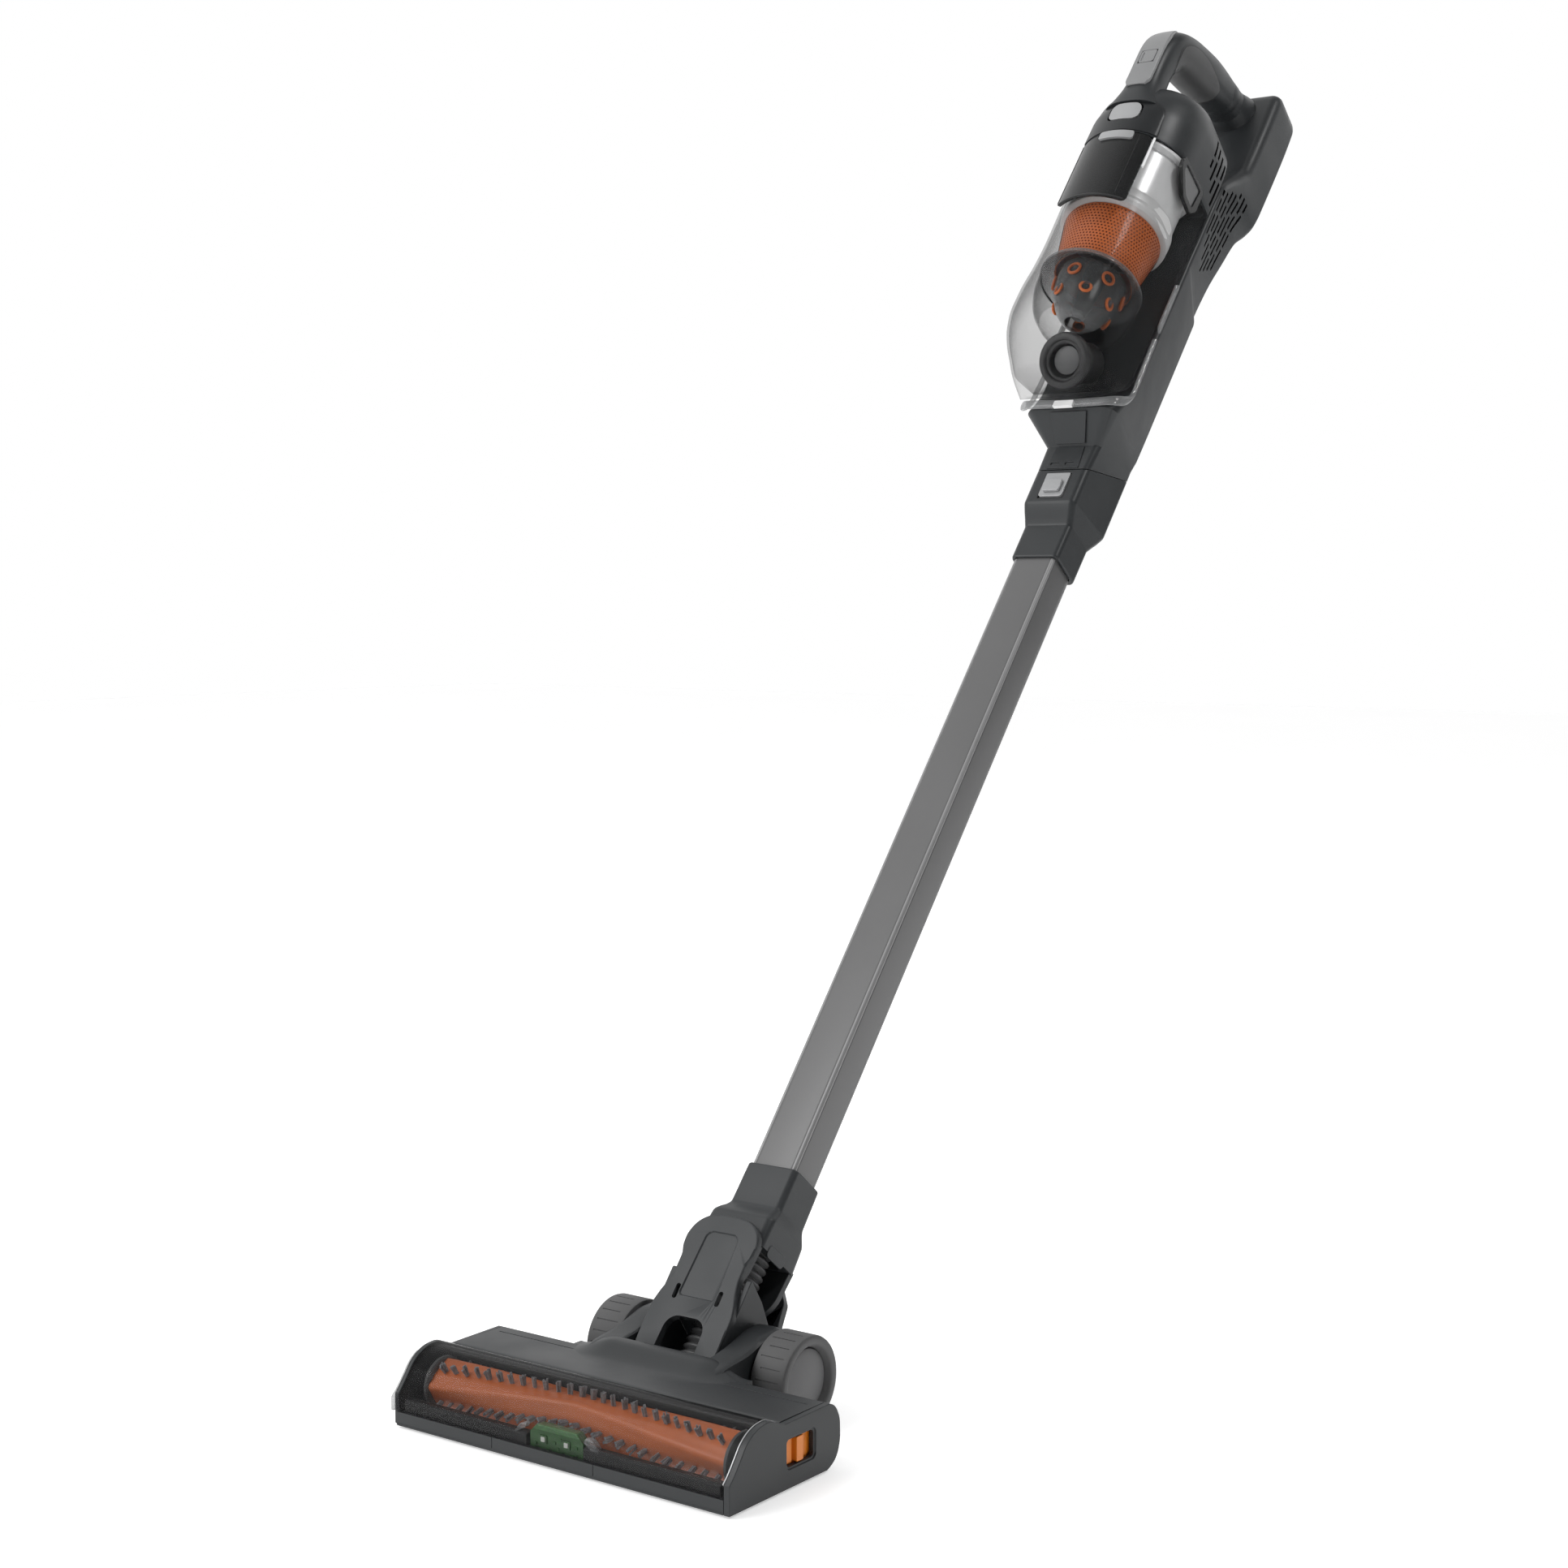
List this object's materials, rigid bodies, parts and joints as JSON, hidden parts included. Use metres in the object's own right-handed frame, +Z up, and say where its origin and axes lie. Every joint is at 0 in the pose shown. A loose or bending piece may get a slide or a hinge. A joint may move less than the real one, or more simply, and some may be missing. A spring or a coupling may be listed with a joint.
{
  "type": "cordless stick vacuum",
  "caption": "Upright stick vacuum: floor head with a lit spinning brush behind a clear window, swivel neck, straight wand and a handheld unit with a clear dust bowl and loop handle.",
  "frame": {"origin": "centre of the bounding box's bottom face, on the floor plane", "axes": "+X across the floor head towards its latch end, -Y to the front, +Z up; the wand lies in the plane X = 0 and leans back towards +Y"},
  "size_m": [0.255, 0.8657, 0.9255],
  "materials": {
    "dark_plastic": "satin moulded",
    "neck_plastic": "satin moulded",
    "tube_paint": "satin paint",
    "wheel_rubber": "matt moulded",
    "hub_plastic": "matt moulded",
    "orange_plastic": "satin moulded",
    "latch_orange": "satin moulded",
    "bristle": "cut bristle",
    "clear_plastic": "polished clear",
    "smoked_plastic": "polished smoked",
    "silver_button": "satin silver",
    "light_strip": "satin grey",
    "chrome_sleeve": "bright",
    "board_green": "circuit board",
    "steel": "brushed",
    "soft_grip": "soft touch",
    "black_rubber": "matt",
    "filter_white": "pleated",
    "cell_wrap": "shrink wrap",
    "tab_white": "matt"
  },
  "bodies": {
    "handheld": {"main_housing": "dark_plastic", "nozzle_panel": "dark_plastic", "motor_housing": "dark_plastic", "handle_shell": "dark_plastic", "control_strip": "light_strip", "grip_inlay": "soft_grip", "suction_motor": "steel", "control_board": "board_green", "battery_pack": "cell_wrap", "rear_cover": "dark_plastic"},
    "power_button": {"power_button": "light_strip"},
    "bowl_button": {"bowl_release_button": "silver_button"},
    "impeller": {"impeller": "black_rubber"},
    "dust_bowl": {"dust_bowl": "clear_plastic", "bowl_lip": "clear_plastic", "lip_tab": "tab_white", "latch_panel": "smoked_plastic", "panel_tab": "silver_button", "side_catch": "clear_plastic", "cyclone_sleeve": "chrome_sleeve", "cyclone_skirt": "clear_plastic", "mesh_cone": "orange_plastic", "inner_cone": "smoked_plastic", "pleated_filter": "filter_white", "inlet_duct": "black_rubber"},
    "inlet_flap": {"inlet_flap": "soft_grip"},
    "wand": {"wand_tube": "tube_paint", "wand_collar": "dark_plastic"},
    "tube_button": {"tube_release_button": "silver_button"},
    "neck_socket": {"neck_socket": "neck_plastic"},
    "neck_fork": {"neck_fork": "neck_plastic", "neck_hose": "black_rubber", "swivel_pin_front": "steel", "swivel_pin_rear": "steel"},
    "floor_head": {"sole_plate": "dark_plastic", "front_strip": "dark_plastic", "brush_window": "clear_plastic", "head_housing": "dark_plastic", "end_cap_left": "dark_plastic", "end_cap_right": "dark_plastic", "brush_motor": "steel", "drive_belt": "black_rubber", "light_board": "board_green", "light_guide_left": "clear_plastic", "light_guide_right": "clear_plastic", "axle_bracket": "dark_plastic", "axle_pin_left": "steel", "axle_pin_right": "steel"},
    "brush": {"brush_roller": "orange_plastic", "bristle_strip_a": "bristle", "bristle_strip_b": "bristle", "brush_pulley": "black_rubber"},
    "motor_pinion": {"motor_pinion": "steel"},
    "brush_latch": {"brush_latch": "latch_orange"},
    "front_roller_left": {"front_roller_left": "black_rubber"},
    "front_roller_right": {"front_roller_right": "black_rubber"},
    "wheel_left": {"wheel_tyre_left": "wheel_rubber", "wheel_hub_left": "hub_plastic"},
    "wheel_right": {"wheel_tyre_right": "wheel_rubber", "wheel_hub_right": "hub_plastic"}
  },
  "joints": [
    {"name": "wand_pull", "type": "slide", "parent": "handheld", "child": "wand", "axis": [0, -0.6301, -0.7766], "range_m": [0, 0.08]},
    {"name": "neck_pull", "type": "slide", "parent": "wand", "child": "neck_socket", "axis": [0, -0.6301, -0.7766], "range_m": [0, 0.06]},
    {"name": "neck_swivel", "type": "hinge", "parent": "neck_socket", "child": "neck_fork", "pos_m": [0, -0.25784, 0.07144], "axis": [0, -0.7766, 0.6301], "range_deg": [-50, 50], "deforming": ["neck_hose"]},
    {"name": "neck_pitch", "type": "hinge", "parent": "neck_fork", "child": "floor_head", "pos_m": [0, -0.2885, 0.0279], "axis": [1, 0, 0], "range_deg": [-38, 38]},
    {"name": "brush_spin", "type": "hinge", "parent": "floor_head", "child": "brush", "pos_m": [0, -0.4024, 0.0206], "axis": [1, 0, 0], "continuous": true},
    {"name": "motor_spin", "type": "hinge", "parent": "floor_head", "child": "motor_pinion", "pos_m": [0, -0.3589, 0.0205], "axis": [1, 0, 0], "continuous": true},
    {"name": "wheel_left_spin", "type": "hinge", "parent": "floor_head", "child": "wheel_left", "pos_m": [0, -0.2885, 0.0279], "axis": [1, 0, 0], "continuous": true},
    {"name": "wheel_right_spin", "type": "hinge", "parent": "floor_head", "child": "wheel_right", "pos_m": [0, -0.2885, 0.0279], "axis": [1, 0, 0], "continuous": true},
    {"name": "front_roller_left_spin", "type": "hinge", "parent": "floor_head", "child": "front_roller_left", "pos_m": [-0.104, -0.4255, 0.0034], "axis": [1, 0, 0], "continuous": true},
    {"name": "front_roller_right_spin", "type": "hinge", "parent": "floor_head", "child": "front_roller_right", "pos_m": [0.104, -0.4255, 0.0034], "axis": [1, 0, 0], "continuous": true},
    {"name": "brush_latch_slide", "type": "slide", "parent": "floor_head", "child": "brush_latch", "axis": [0, 1, 0], "range_m": [0, 0.006]},
    {"name": "tube_button_press", "type": "slide", "parent": "wand", "child": "tube_button", "axis": [0, 0.7766, -0.6301], "range_m": [0, 0.002], "stiffness_N_per_m": 400},
    {"name": "power_button_press", "type": "slide", "parent": "handheld", "child": "power_button", "axis": [0, 0.7766, -0.6301], "range_m": [0, 0.0015], "stiffness_N_per_m": 400},
    {"name": "bowl_button_press", "type": "slide", "parent": "handheld", "child": "bowl_button", "axis": [0, 0.7766, -0.6301], "range_m": [0, 0.003], "stiffness_N_per_m": 400},
    {"name": "bowl_pull", "type": "slide", "parent": "handheld", "child": "dust_bowl", "axis": [0, -0.7766, 0.6301], "range_m": [0, 0.12]},
    {"name": "inlet_flap_swing", "type": "hinge", "parent": "dust_bowl", "child": "inlet_flap", "pos_m": [0, 0.12793, 0.68099], "axis": [1, 0, 0], "range_deg": [-50, 0]},
    {"name": "impeller_spin", "type": "hinge", "parent": "handheld", "child": "impeller", "pos_m": [0, 0.2389, 0.81065], "axis": [0, 0.6301, 0.7766], "continuous": true}
  ],
  "couplings": [
    {"joint": "motor_spin", "follows": "brush_spin", "ratio": 2}
  ]
}
